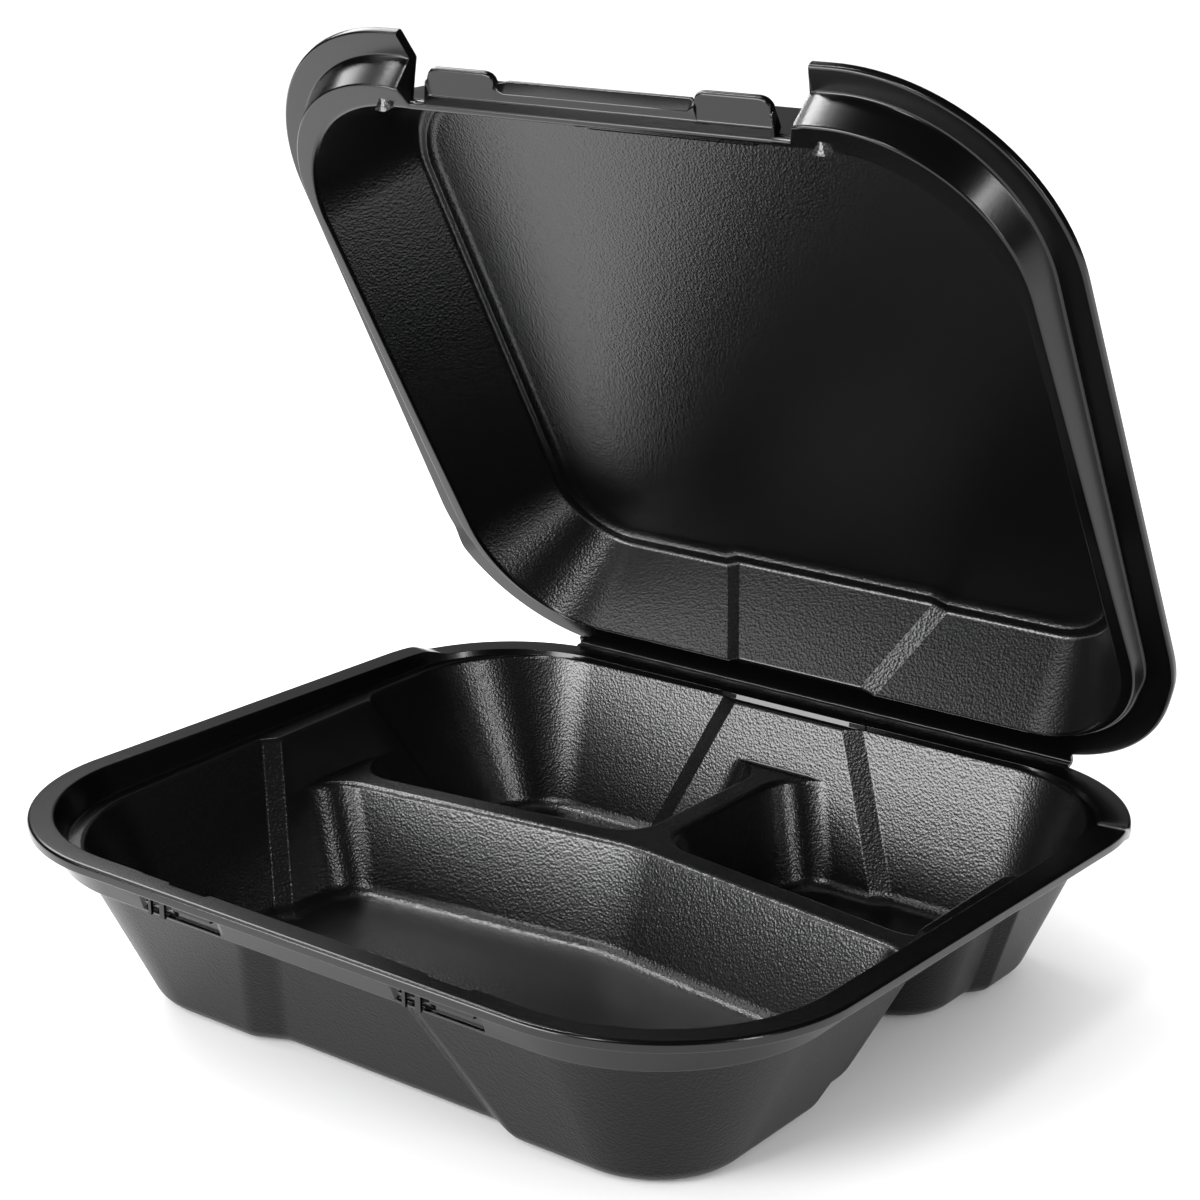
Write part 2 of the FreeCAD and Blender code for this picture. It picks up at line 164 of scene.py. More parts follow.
def ring(corners):
    """Points along a closed outline, and (corner, share of its turn) for each.

    A corner is (x, y, radius, steps or a list of shares). Without a radius it is one point.
    """
    points, marks = [], []
    n = len(corners)
    for i, (x, y, r, steps) in enumerate(corners):
        here = Vector((x, y))
        if not r:
            points.append(here)
            marks.append((i, None))
            continue
        j = i - 1
        while (Vector(corners[j][:2]) - here).length < 1e-6:
            j -= 1
        a = (Vector(corners[j][:2]) - here).normalized()
        b = (Vector(corners[(i + 1) % n][:2]) - here).normalized()
        half = a.angle(b) / 2
        centre = here + (a + b).normalized() * (r / sin(half))
        start = here + a * (r / tan(half)) - centre
        end = here + b * (r / tan(half)) - centre
        total = start.angle(end)
        turn = 1 if start.x * end.y - start.y * end.x > 0 else -1
        shares = steps if isinstance(steps, list) else [k / steps for k in range(steps + 1)]
        for share in shares:
            t = total * share * turn
            arm = Vector((start.x * cos(t) - start.y * sin(t), start.x * sin(t) + start.y * cos(t)))
            points.append(centre + arm)
            marks.append((i, share))
    return points, marks


def bend(x, y):
    """A small rounded corner beside a pressed panel."""
    return (x, y, BEND_R, BEND_STEPS)


def front_bend(x, y):
    return (x, y, FRONT_BEND_R, FRONT_BEND_STEPS)


def station(x, y):
    return (x, y, 0, 0)


def swept(start, x):
    """The bowed divider's place at x."""
    return start - SWEEP * abs(x)


class Level:
    """Places of the tray's walls at one level, on the inside or, with outer, on the outside."""

    def __init__(self, z, walls_in=0.0, outer=False, edge=0.0):
        skin = WALL_SKIN if outer else 0.0
        divider_skin = DIV_SKIN if outer else 0.0
        drop = WALL_TOP - z
        share = drop / (WALL_TOP - SHEET)
        self.side = HALF - RIM_TO_WALL - drop * WALL_T - walls_in + skin
        self.front = -(DEPTH - RIM_TO_WALL) + drop * WALL_T + walls_in - skin
        self.back = -BACK_WALL - drop * BACK_T - walls_in + skin
        self.side_in = self.side - SIDE_PANEL
        self.front_in = self.front + FRONT_INSET
        self.back_in = self.back - BACK_INSET
        self.panel = mix(PANEL_TOP, PANEL_LOW, share)
        self.panel_end = self.panel + PANEL_SLANT
        self.side_end = self.panel + SIDE_SLANT
        self.front_panel = mix(FRONT_TOP, FRONT_LOW, share)
        self.front_end = self.front_panel + FRONT_SLANT
        self.front_r = CORNER_R - drop * WALL_T + skin - walls_in
        self.rear_r = mix(REAR_R_TOP, REAR_R_LOW, share) + skin - walls_in
        self.join_r = JOIN_R + skin - walls_in
        self.lean = DIVIDER_HALF + (DIVIDER_Z - z) * DIV_T + walls_in - divider_skin - edge
        self.front_face = APEX_Y - self.lean
        self.back_face = APEX_Y + self.lean

    def front_side(self):
        """Corners along the front, from the left front corner to the right one."""
        span = (self.side - self.front_r) - self.front_end
        scale = span / (SLOTS_END - SLOTS_START)
        left = [-self.front_end - (-x - SLOTS_START) * scale for x in SLOTS_LEFT]
        right = [self.front_end + (x - SLOTS_START) * scale for x in SLOTS_RIGHT]
        corners = [(-self.side, self.front, self.front_r, BIG)]
        corners += [station(x, self.front) for x in left]
        corners += [front_bend(-self.front_end, self.front), front_bend(-self.front_panel, self.front_in),
                    front_bend(self.front_panel, self.front_in), front_bend(self.front_end, self.front)]
        corners += [station(x, self.front) for x in right]
        corners += [(self.side, self.front, self.front_r, BIG)]
        return corners

    def front_cup(self):
        """Outline of the front compartment."""
        end = swept(self.front_face, self.side_in)
        return self.front_side() + [
            bend(self.side, PANEL_Y - self.side_end), bend(self.side_in, PANEL_Y - self.panel),
            (self.side_in, end, self.join_r, JOIN_STEPS), (0, self.front_face, APEX_R, APEX_STEPS),
            (-self.side_in, end, self.join_r, JOIN_STEPS),
            bend(-self.side_in, PANEL_Y - self.panel), bend(-self.side, PANEL_Y - self.side_end)]

    def back_cup(self, hand):
        """Outline of the right rear compartment, or with hand -1 of the left one."""
        corners = [
            (self.lean, swept(self.back_face, self.lean), self.join_r, JOIN_STEPS),
            (self.side_in, swept(self.back_face, self.side_in), self.join_r, JOIN_STEPS),
            bend(self.side_in, PANEL_Y + self.panel), bend(self.side, PANEL_Y + self.side_end),
            (self.side, self.back, self.rear_r, REAR),
            bend(self.panel_end, self.back), bend(self.panel, self.back_in),
            (self.lean, self.back_in, self.join_r, JOIN_STEPS)]
        return [(hand * x, y, r, steps) for x, y, r, steps in corners]


# Corners of the compartments' outlines where a divider meets a wall or another divider
N_FRONT = len(Level(WALL_TOP).front_side())
FRONT_RIGHT_JOIN, FRONT_LEFT_JOIN = N_FRONT + 2, N_FRONT + 4
SPINE_FRONT, WALL_FRONT, SPINE_REAR = 0, 1, 7


def tangents(corners, index):
    """First and last point of one corner's arc."""
    points, marks = ring(corners)
    own = [p for p, m in zip(points, marks) if m[0] == index]
    return own[0], own[-1]


def divider_ends(level):
    """Y of the front divider's two tangent points on the side wall, and X of the spine's on the back."""
    front, back = level.front_cup(), level.back_cup(1)
    return (tangents(front, FRONT_RIGHT_JOIN)[0].y, tangents(back, WALL_FRONT)[1].y,
            tangents(back, SPINE_REAR)[0].x)


def divider_edge(alpha):
    """Level and edge shift at alpha from the divider's flat top round to its side."""
    z = DIVIDER_Z - EDGE_R + EDGE_R * cos(alpha)
    lean = DIVIDER_HALF - EDGE_REACH + EDGE_R * sin(alpha)
    return z, DIVIDER_HALF + (DIVIDER_Z - z) * DIV_T - lean


TOP = Level(DIVIDER_Z, edge=divider_edge(0)[1])
TOP_ENDS = divider_ends(TOP)
UNDER = Level(DIVIDER_Z - SHEET, outer=True)
UNDER_ENDS = divider_ends(UNDER)


def tub(level, ends=TOP_ENDS):
    """Outline of the whole tray above the dividers, with points where they end."""
    front_y, back_y, spine_x = ends
    left_half = [
        bend(-level.panel, level.back_in), bend(-level.panel_end, level.back),
        (-level.side, level.back, level.rear_r, REAR_BACKWARD),
        bend(-level.side, PANEL_Y + level.side_end), bend(-level.side_in, PANEL_Y + level.panel),
        station(-level.side_in, back_y), station(-level.side_in, front_y),
        bend(-level.side_in, PANEL_Y - level.panel), bend(-level.side, PANEL_Y - level.side_end)]
    right_half = [
        bend(level.side, PANEL_Y - level.side_end), bend(level.side_in, PANEL_Y - level.panel),
        station(level.side_in, front_y), station(level.side_in, back_y),
        bend(level.side_in, PANEL_Y + level.panel), bend(level.side, PANEL_Y + level.side_end),
        (level.side, level.back, level.rear_r, REAR),
        bend(level.panel_end, level.back), bend(level.panel, level.back_in)]
    middle = [station(spine_x, level.back_in), station(-spine_x, level.back_in)]
    return level.front_side() + right_half + middle + left_half


def rim_points(reference, marks, corners):
    """A function of station and inset that gives the rim's outline along a reference ring.

    corners says which corner of the reference is the rim's "fl", "fr", "br" or "bl" one.
    """
    arcs = {"fl": (-HALF + FRONT_R, -DEPTH + FRONT_R, FRONT_R, -pi, -pi / 2),
            "fr": (HALF - FRONT_R, -DEPTH + FRONT_R, FRONT_R, -pi / 2, 0.0),
            "br": (HALF - BACK_R, -SETBACK - BACK_R, BACK_R, 0.0, pi / 2),
            "bl": (-HALF + BACK_R, -SETBACK - BACK_R, BACK_R, pi / 2, pi)}
    near = 30

    def at(k, inset):
        corner, share = marks[k]
        if corner in corners:
            cx, cy, r, a, b = arcs[corners[corner]]
            t = mix(a, b, share)
            return Vector((cx + (r - inset) * cos(t), cy + (r - inset) * sin(t)))
        x, y = reference[k]
        if y < -DEPTH + near:
            return Vector((x, -(DEPTH - inset)))
        if y > -near:
            return Vector((x, -(SETBACK + inset)))
        return Vector(((HALF - inset) * (1 if x > 0 else -1), y))
    return at


def rounded(points, rounding):
    """A 3-D line of points with its inner corners rounded; always the same number of points."""
    out = [points[0]]
    for i, (radius, steps) in enumerate(rounding, start=1):
        b = points[i]
        u, v = points[i - 1] - b, points[i + 1] - b
        lu, lv = u.length, v.length
        if lu < 1e-5 or lv < 1e-5:
            out += [b.copy() for _ in range(steps + 1)]
            continue
        u, v = u / lu, v / lv
        angle = acos(max(-1.0, min(1.0, u.dot(v))))
        if angle > pi - 0.02 or angle < 0.02:
            out += [b.copy() for _ in range(steps + 1)]
            continue
        reach = min(radius / tan(angle / 2), 0.46 * lu, 0.46 * lv)
        r = reach * tan(angle / 2)
        centre = b + (u + v).normalized() * (r / sin(angle / 2))
        start, end = b + u * reach - centre, b + v * reach - centre
        total = pi - angle
        for k in range(steps + 1):
            t = k / steps
            arc = (start * sin((1 - t) * total) + end * sin(t * total)) / sin(total)
            out.append(centre + arc)
    out.append(points[-1])
    return out


class Builder:
    """Collects points and faces, in mm, for one mesh."""

    def __init__(self):
        self.points, self.faces, self.mats = [], [], []

    def add(self, points):
        start = len(self.points)
        self.points += [Vector(p) for p in points]
        return list(range(start, start + len(points)))

    def face(self, corners, mat):
        self.faces.append(tuple(corners))
        self.mats.append(mat)

    def strip(self, a, b, mat=GRAIN):
        """Faces between two closed loops of points."""
        for i in range(len(a)):
            j = (i + 1) % len(a)
            self.face((a[i], a[j], b[j], b[i]), mat)

    def cap(self, loop, mat=GRAIN):
        self.face(loop, mat)

    def loft(self, rows, mat=GRAIN):
        ids = [self.add(row) for row in rows]
        for a, b in zip(ids, ids[1:]):
            self.strip(a, b, mat)
        return ids

    def mesh(self, name, place, materials):
        merge = 0.012 / 1000
        crisp = radians(50)
        data = bpy.data.meshes.new(name)
        data.from_pydata([place(p) for p in self.points], [], self.faces)
        for material in materials:
            data.materials.append(material)
        for poly, mat in zip(data.polygons, self.mats):
            poly.material_index = mat
            poly.use_smooth = True
        bm = bmesh.new()
        bm.from_mesh(data)
        bmesh.ops.remove_doubles(bm, verts=bm.verts, dist=merge)
        bmesh.ops.dissolve_degenerate(bm, edges=bm.edges, dist=1e-6)
        bmesh.ops.recalc_face_normals(bm, faces=bm.faces)
        for edge in bm.edges:
            if len(edge.link_faces) == 2 and edge.calc_face_angle(0.0) > crisp:
                edge.smooth = False
        bm.to_mesh(data)
        bm.free()
        obj = bpy.data.objects.new(name, data)
        bpy.context.scene.collection.objects.link(obj)
        weighted = obj.modifiers.new("weighted", "WEIGHTED_NORMAL")
        weighted.weight = 60
        weighted.keep_sharp = True
        return obj


PIVOT = Vector((0, 0, CREASE + GAP / 2))
LID_TURN = Matrix.Rotation(radians(-OPEN), 3, "X")


def place_base(p):
    return Vector((p.x, p.y + OFFSET_Y, p.z)) / 1000


def opened(p):
    return LID_TURN @ (p - PIVOT) + PIVOT


def place_lid(p):
    return place_base(opened(p))


# Materials

def foam(name, rough, grain, shine):
    """Black foam with a skin that is pebbled by grain."""
    material = bpy.data.materials.new(name)
    material.use_nodes = True
    nodes, links = material.node_tree.nodes, material.node_tree.links
    shader = nodes["Principled BSDF"]
    shader.inputs["Base Color"].default_value = (0.0012, 0.0012, 0.00126, 1)
    shader.inputs["Roughness"].default_value = rough
    shader.inputs["Specular IOR Level"].default_value = shine
    place = nodes.new("ShaderNodeTexCoord")
    pebbles = nodes.new("ShaderNodeTexVoronoi")
    pebbles.inputs["Scale"].default_value = 1350.0
    fine = nodes.new("ShaderNodeTexNoise")
    fine.inputs["Scale"].default_value = 1600.0
    fine.inputs["Detail"].default_value = 1.0
    for node in (pebbles, fine):
        links.new(place.outputs["Object"], node.inputs["Vector"])
    first = nodes.new("ShaderNodeBump")
    first.inputs["Strength"].default_value = grain
    first.inputs["Distance"].default_value = 0.00016
    links.new(pebbles.outputs["Distance"], first.inputs["Height"])
    second = nodes.new("ShaderNodeBump")
    second.inputs["Strength"].default_value = grain
    second.inputs["Distance"].default_value = 0.00012
    links.new(fine.outputs["Fac"], second.inputs["Height"])
    links.new(first.outputs["Normal"], second.inputs["Normal"])
    links.new(second.outputs["Normal"], shader.inputs["Normal"])
    return material


grained = foam("foam_grain", rough=0.27, grain=0.36, shine=0.6)
rim_foam = foam("foam_rim", rough=0.2, grain=0.03, shine=0.36)
outside = foam("foam_outside", rough=0.36, grain=0.4, shine=0.17)
FOAMS = [grained, rim_foam, outside]


# Tray: upper walls and rim

# (radius, steps) at each inner point of a column of the rim, from the wall over the flange and back
RIM_ROUNDING = [(1.5, 5), (0.8, 3)] + [(0.1, 1)] * 5
RIM_ROUNDING += [(0.9, 4), (1.0, 5), (0.5, 2), (0.3, 2), (0.4, 2), (0.5, 2)]
RIM_ROUNDING += [(0.1, 1)] * 4 + [(1.2, 4), (0.7, 2)]
# Points of a column between which the slot's hole goes through
HOLE_INNER, HOLE_OUTER = 5, 16
WALL_ROWS = 3


def tray_column(k, rim, marks, walls):
    """Section of wall, step, flange and skirt at station k, and its place in a slot or None."""
    inner_low, inner_high, outer_low, outer_high = walls
    edge = rim(k, 0)
    flange, ledge = flange_z(edge.y), ledge_z(edge.y)
    flange_in, ledge_in = flange_z(rim(k, FLANGE).y), ledge_z(rim(k, 11).y)
    front = edge.y < -DEPTH + 1 and marks[k][1] is None
    u = edge.x - (SLOT_X if edge.x > 0 else -SLOT_X)
    slot = front and abs(u) < SLOT_HALF
    pocket = front and abs(u) < POCKET_HALF
    notch = NOTCH if front and NOTCH_FROM < u < POCKET_HALF else 0.0

    def at(inset, z):
        p = rim(k, inset)
        return Vector((p.x, p.y, z))

    def wall_in(z):
        p = inner_low[k].lerp(inner_high[k], (z - DIVIDER_Z) / (WALL_TOP - DIVIDER_Z))
        return Vector((p.x, p.y, z))

    def wall_out(z):
        share = (z - DIVIDER_Z + SHEET) / (WALL_TOP - DIVIDER_Z + SHEET)
        p = outer_low[k].lerp(outer_high[k], share)
        return Vector((p.x, p.y, z))

    # Inside: the step, with the pocket for the lid's tab and the notch above it
    limit = (wall_in(ledge_in) - at(0, ledge_in)).length - 0.05

    def step(z):
        return min(step_inset(z), limit)

    def pocket_or_step(z):
        return POCKET_INSET if pocket else step(z)

    low_z, high_z, notch_z = [mix(ledge, flange_in, t) for t in (0.15, 0.55, 0.88)]
    notched = step(notch_z) - notch if notch else pocket_or_step(notch_z)

    # Outside: the band under the flange, with the slot's recess
    room = (outer_high[k] - edge).length
    under = min(step_inset(flange_in - SHEET) - SHEET, room - 0.3)
    foot = min(step_inset(ledge - SHEET) - SHEET, room - 0.2)
    recess = SLOT_RECESS if slot else 0.0

    def band(t, deeper=0.0):
        z = mix(ledge - SHEET, flange_in - SHEET, t)
        share = (z - (ledge - SHEET)) / max(flange_in - ledge, 0.1)
        return at(mix(foot, under, share) + deeper, z)

    skirt = SKIRT
    if edge.y >= RAISE_END:
        skirt = mix(SKIRT, SHEET + 0.3, smooth((edge.y - RAISE_END) / 7))
    points = [
        wall_in(DIVIDER_Z), wall_in(ledge_in), at(step(ledge), ledge),
        at(step(low_z), low_z), at(pocket_or_step(low_z), low_z),
        at(pocket_or_step(high_z), high_z), at(pocket_or_step(notch_z), notch_z),
        at(notched, notch_z), at(pocket_or_step(flange_in) - notch * 0.9, flange_in),
        at(0, flange), at(0, flange - skirt),
        at(SKIRT_WALL, flange - skirt), at(SKIRT_WALL + 0.3, flange - SHEET),
        at(under, flange_in - SHEET),
        band(0.66), band(0.63, recess), band(0.12, recess), band(0.09),
        at(foot, ledge - SHEET), wall_out(ledge - SHEET), wall_out(DIVIDER_Z - SHEET),
    ]
    return rounded(points, RIM_ROUNDING), (u if slot else None)


def tray_rim(b):
    reference, marks = ring(tub(Level(WALL_TOP)))
    corners = {0: "fl", N_FRONT - 1: "fr", N_FRONT + 6: "br", N_FRONT + 13: "bl"}
    rim = rim_points(reference, marks, corners)
    count = len(reference)
    walls = (ring(tub(Level(DIVIDER_Z)))[0], ring(tub(Level(WALL_TOP)))[0],
             ring(tub(UNDER, UNDER_ENDS))[0], ring(tub(Level(WALL_TOP, outer=True), UNDER_ENDS))[0])
    columns, places = zip(*[tray_column(k, rim, marks, walls) for k in range(count)])

    # First row of each point of a column
    starts = [0]
    for _, steps in [(0, 0)] + RIM_ROUNDING:
        starts.append(starts[-1] + steps + 1)
    inner_row, outer_row = starts[HOLE_INNER] - 1, starts[HOLE_OUTER] - 1
    hole = [k for k in range(count) if places[k] is not None and places[k + 1] is not None
            and HOLE_FROM < places[k] < HOLE_TO and places[k + 1] > places[k]]

    n_rows = len(columns[0])
    ids = [b.add([column[r] for column in columns]) for r in range(n_rows)]
    for r in range(n_rows - 1):
        mat = GRAIN if r < WALL_ROWS else OUTSIDE if r >= n_rows - WALL_ROWS else RIM
        for k in range(count):
            if k in hole and r in (inner_row, outer_row):
                continue
            j = (k + 1) % count
            b.face((ids[r][k], ids[r][j], ids[r + 1][j], ids[r + 1][k]), mat)

    # Sides of the slots' holes, through the sheet
    for k in hole:
        for inner, outer in ((inner_row, outer_row + 1), (inner_row + 1, outer_row)):
            b.face((ids[inner][k], ids[inner][k + 1], ids[outer][k + 1], ids[outer][k]), RIM)
    for end in [k for k in hole if k - 1 not in hole] + [k + 1 for k in hole if k + 1 not in hole]:
        b.face((ids[inner_row][end], ids[inner_row + 1][end],
                ids[outer_row][end], ids[outer_row + 1][end]), RIM)


# Tray: compartments and dividers

def cup_rows(shape, outer):
    """Outlines of one compartment from the divider's top down round its floor's edge."""
    levels = []
    if outer:
        levels.append((DIVIDER_Z - SHEET, UNDER))
    else:
        for alpha in range(0, 73, 12):
            z, shift = divider_edge(radians(alpha))
            levels.append((z, Level(z, edge=shift)))
    for z in (22.0, 14.0):
        levels.append((z, Level(z, outer=outer)))
    base = 0.0 if outer else SHEET
    r = FLOOR_R_OUTER if outer else FLOOR_R
    for k in range(FLOOR_STEPS + 1):
        a = mix(FLOOR_TURN, pi / 2, k / FLOOR_STEPS)
        h = r * (1 - sin(a))
        side = r * (1 - sin(FLOOR_TURN)) / cos(FLOOR_TURN)
        shift = h * tan(FLOOR_TURN) + side - sqrt(max(r * r - (r - h) ** 2, 0))
        levels.append((base + h, Level(base + h, walls_in=shift, outer=outer)))
    return [lift(ring(shape(level))[0], z) for z, level in levels]


def compartments(b, outer):
    """The three compartments; gives the top loop of each."""
    tops = []
    mat = OUTSIDE if outer else GRAIN
    shapes = (lambda at: at.front_cup(), lambda at: at.back_cup(1), lambda at: at.back_cup(-1))
    for shape in shapes:
        loft = b.loft(cup_rows(shape, outer), mat)
        b.cap(loft[-1], mat)
        tops.append(loft[0])
    return tops


def divider_face(b, tops, level):
    """The T-shaped face between the three compartments."""
    front_ids, right_ids, left_ids = tops
    front_marks = ring(level.front_cup())[1]
    back_marks = ring(level.back_cup(1))[1]
    path = [front_ids[i] for i, mark in enumerate(front_marks)
            if FRONT_RIGHT_JOIN <= mark[0] <= FRONT_LEFT_JOIN]
    sides = [i for corner in (SPINE_REAR, SPINE_FRONT, WALL_FRONT)
             for i, mark in enumerate(back_marks) if mark[0] == corner]
    path += [left_ids[i] for i in reversed(sides)]
    path += [right_ids[i] for i in sides]
    b.cap(path)


def cove(b, start, end, inward):
    """Fine rounding where a divider's top meets a wall."""
    steps, arc_steps, radius = 24, 5, 0.9
    loops = []
    for k in range(steps + 1):
        t = k / steps
        r = radius * min(1.0, 6 * t, 6 * (1 - t)) + 0.02
        here = start.lerp(end, t)
        arc = []
        for a in range(arc_steps + 1):
            turn = radians(90 * a / arc_steps)
            up = Vector((0, 0, r - r * cos(turn) + 0.02))
            arc.append(here + inward * (r - r * sin(turn) - 0.02) + up)
        arc.append(here + Vector((0, 0, -0.2)) - inward * 0.2)
        loops.append(b.add(arc))
    for one, two in zip(loops, loops[1:]):
        b.strip(one, two, RIM)


def slot_posts(b):
    y, half_depth = -(DEPTH - 6.6), 0.4
    low, high = 41.0, 46.2
    for centre in (-SLOT_X, SLOT_X):
        for offset, width in ((-9.3, 0.9), (-5.2, 1.6)):
            x = centre + offset
            box = [Vector((x + sx * width / 2, y + sy * half_depth, z)) for z in (low, high)
                   for sx, sy in ((-1, -1), (1, -1), (1, 1), (-1, 1))]
            post = b.add(box)
            b.strip(post[:4], post[4:], RIM)


def build_tray():
    b = Builder()
    tray_rim(b)
    inner_tops = compartments(b, False)
    outer_tops = compartments(b, True)
    divider_face(b, inner_tops, TOP)
    divider_face(b, outer_tops, UNDER)
    front_y, back_y, spine_x = TOP_ENDS
    for hand in (-1, 1):
        x = hand * TOP.side_in
        cove(b, Vector((x, front_y, DIVIDER_Z)), Vector((x, back_y, DIVIDER_Z)), Vector((-hand, 0, 0)))
    cove(b, Vector((-spine_x, TOP.back_in, DIVIDER_Z)), Vector((spine_x, TOP.back_in, DIVIDER_Z)),
         Vector((0, -1, 0)))
    slot_posts(b)
    return b


tray = build_tray().mesh("tray_shell", place_base, FOAMS)


# Lid

SHELF = CREASE + LID_DEPTH
FOOT = -(DEPTH - 14.6)
LIP_IN = FOOT - 1.2
LIP_OUT = LIP_IN - 3.8
TAB_END = -(DEPTH - 6.7)
TAB_HALF = 10.5
TAB_RISE = tan(radians(12.0))
LIP_SHEET = 2.0
BEAD_HALF = 28.0
LIP_HALF = 51.3
FRONT_OPEN = 56.6
FLANGE_END = 58.7
FLANGE_CUT = 3.2
# Share of a tab's reach at each place across it
TAB_X = [(-10.5, 0.0), (-10.45, 0.35), (-10.2, 0.62), (-9.6, 0.82), (-8.7, 0.95), (-7.6, 1.0),
         (-4, 1.0), (0, 1.0), (4, 1.0),
         (7.4, 1.0), (8.4, 0.95), (9.2, 0.84), (9.8, 0.66), (10.3, 0.4), (10.5, 0.0)]
FRONT_X = [-61.0, -58.6, -57.0, -56.2, -54.0, -51.6, -51.0]
FRONT_X += [-SLOT_X - x for x, _ in reversed(TAB_X)]
FRONT_X += [-27.0, -15.0, 0.0, 15.0, 27.0]
FRONT_X += [SLOT_X + x for x, _ in TAB_X]
FRONT_X += [51.0, 51.6, 54.0, 56.2, 57.0, 58.6, 61.0]
# (radius, steps) at each inner point of a column of the lid, from the plate over the rim to the dome
LID_ROUNDING = [(1.0, 3), (2.6, 5), (1.7, 5), (0.8, 3), (0.9, 3), (0.8, 3), (0.8, 3),
                (0.9, 3), (0.9, 3), (1.0, 2), (2.2, 4), (1.0, 3)]
PLATE_ROWS, DOME_ROWS = 12, 13


def lid_front(z, inset=0.0, grow=0.0):
    return -(DEPTH - 18.0 - (z - CREASE) * LID_T - inset + grow)


def lid_ring(z, inset=0.0, grow=0.0):
    """Outline of the lid's wall at one level of the closed lid."""
    height = z - CREASE
    share = height / LID_DEPTH
    side = HALF - 13.8 - height * LID_T - inset + grow
    front = lid_front(z, inset, grow)
    back = -10.0 - height * LID_BACK_T - inset + grow
    back_in = back - 2.0
    panel = mix(20.5, 32.0, share)
    panel_end = panel + 4.5
    front_r = 41.0 - height * LID_T - inset + grow
    rear_r = mix(34.0, 22.0, share) - inset + grow
    corners = [(-side, front, front_r, BIG)]
    corners += [station(x, front) for x in FRONT_X]
    corners += [(side, front, front_r, BIG), station(side, -80.0), (side, back, rear_r, REAR)]
    corners += [bend(panel_end, back), bend(panel, back_in), bend(-panel, back_in), bend(-panel_end, back)]
    corners += [(-side, back, rear_r, REAR_BACKWARD), station(-side, -80.0)]
    return ring(corners)


def tab_share(x):
    """How far the lip reaches out at x, from 0 beside the tabs to 1 on them."""
    u = abs(x) - SLOT_X
    for (a, low), (b, high) in zip(TAB_X, TAB_X[1:]):
        if a - 1e-6 <= u <= b + 1e-6:
            return mix(low, high, (u - a) / (b - a))
    return 0.0


def lip_section(x):
    """Points of the lip, the bead or a tab between the corner flanges."""
    low = ledge_z(FOOT) + GAP
    high = low + 3.0
    if abs(x) >= LIP_HALF:
        steps = ((0.0, 0.0), (-0.2, 0.7), (-0.3, 1.2), (-0.2, 1.8), (0.0, 2.3), (1.2, SHEET))
        return [Vector((x, FOOT + away, low + up)) for away, up in steps]
    share = tab_share(x) if abs(abs(x) - SLOT_X) <= TAB_HALF + 0.1 else 0.0
    lip = mix(LIP_OUT, TAB_END, share)
    rise = (LIP_IN - lip) * TAB_RISE if share > 0 else 0.0
    tip = [(lip, high + rise), (lip, high + rise + LIP_SHEET), (LIP_IN + 1.25, high + LIP_SHEET)]
    if abs(x) < BEAD_HALF:
        tip = [(LIP_IN - 2.0, high + 0.3), (LIP_IN - 4.2, high + 4.0), (LIP_IN + 1.0, high + 4.6)]
    places = [(FOOT, low), (LIP_IN, high)] + tip + [(FOOT + 1.25, low + SHEET)]
    return [Vector((x, y, z)) for y, z in places]


class LidWalls:
    """The lid's wall lines, inside and outside, at each station."""

    def __init__(self):
        low, high = CREASE - 7.5, CREASE + 2.5
        self.low, self.height = low, high - low
        self.inner = (lid_ring(low)[0], lid_ring(high)[0])
        self.outer = (lid_ring(low, 0, LID_SKIN)[0], lid_ring(high, 0, LID_SKIN)[0])
        self.levels = {}

    def wall(self, k, z, outer=False):
        a, b = self.outer if outer else self.inner
        p = a[k].lerp(b[k], (z - self.low) / self.height)
        return Vector((p.x, p.y, z))

    def shelf(self, k, z, inset=0.0, grow=0.0):
        if (z, inset, grow) not in self.levels:
            self.levels[(z, inset, grow)] = lid_ring(z, inset, grow)[0]
        p = self.levels[(z, inset, grow)][k]
        return Vector((p.x, p.y, z))


